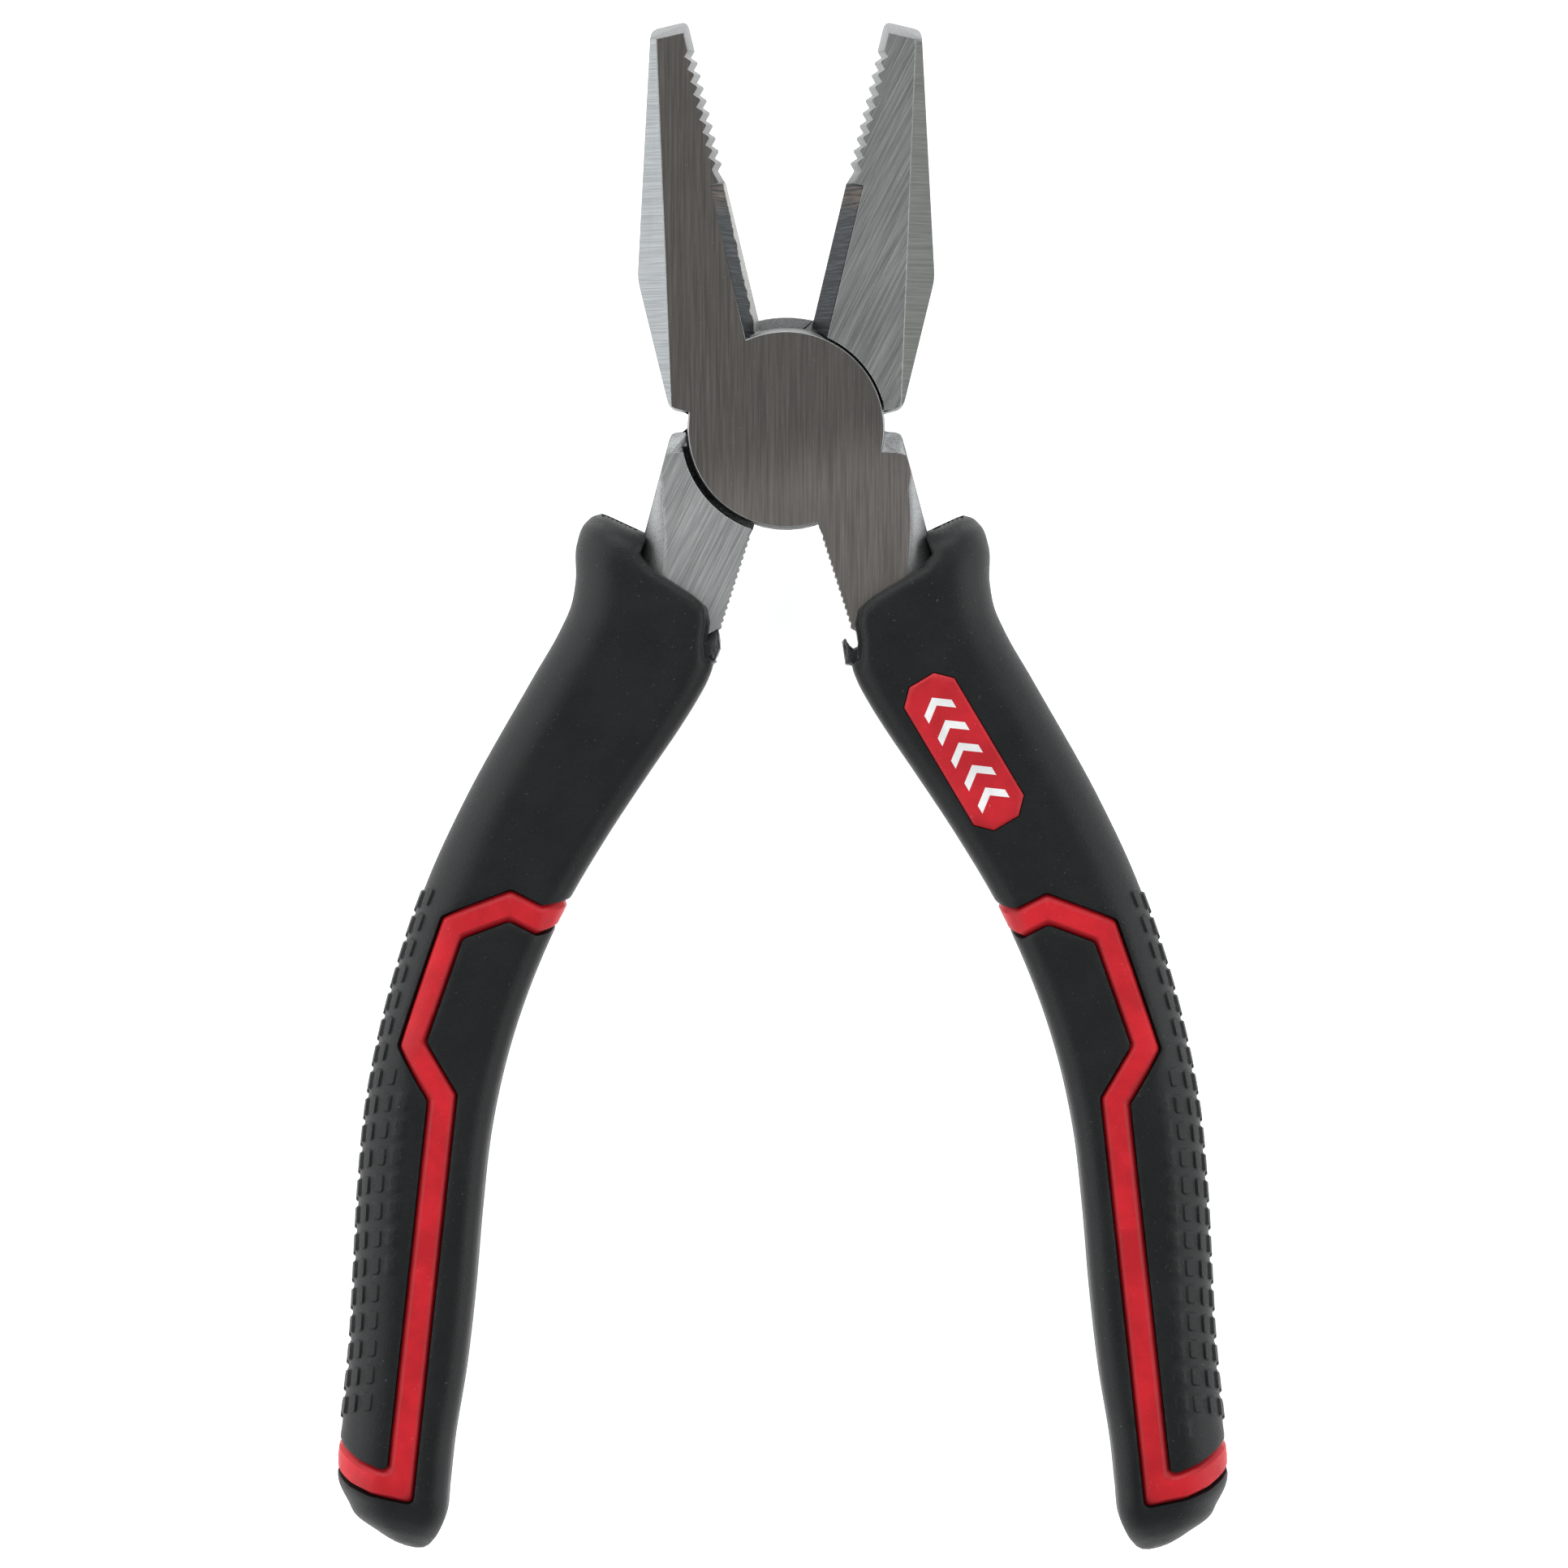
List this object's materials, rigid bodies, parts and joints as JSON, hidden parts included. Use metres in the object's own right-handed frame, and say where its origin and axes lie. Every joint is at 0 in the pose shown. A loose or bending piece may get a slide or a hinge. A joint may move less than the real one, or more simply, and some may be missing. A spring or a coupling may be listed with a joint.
{
  "type": "lineman pliers",
  "caption": "Lineman pliers with toothed jaws, side cutters and lapped joint; black grips with a guard, textured outer side and red inlaid band.",
  "frame": {"origin": "on the pivot axis, at the back ground face of the head", "axes": "+Y towards the jaw tips, +X to the right seen from the front, +Z out of the front face of the head"},
  "size_m": [0.1129, 0.194, 0.0172],
  "materials": {
    "ground_steel": null,
    "rivet_steel": null,
    "grip_black": null,
    "grip_red": null,
    "sleeve_black": null
  },
  "bodies": {
    "front_body": {"front_half": "ground_steel", "pivot_rivet": "rivet_steel", "right_grip_sleeve": "sleeve_black", "right_grip_outer_shell": "grip_black", "right_grip_inner_shell": "grip_black", "right_grip_band": "grip_red", "right_grip_badge": "grip_red"},
    "back_body": {"back_half": "ground_steel", "left_grip_sleeve": "sleeve_black", "left_grip_outer_shell": "grip_black", "left_grip_inner_shell": "grip_black", "left_grip_band": "grip_red"}
  },
  "joints": [
    {"name": "pivot", "type": "hinge", "parent": "front_body", "child": "back_body", "pos_m": [0, 0, 0.0055], "axis": [0, 0, 1], "range_deg": [-11.7, 26.8]}
  ]
}
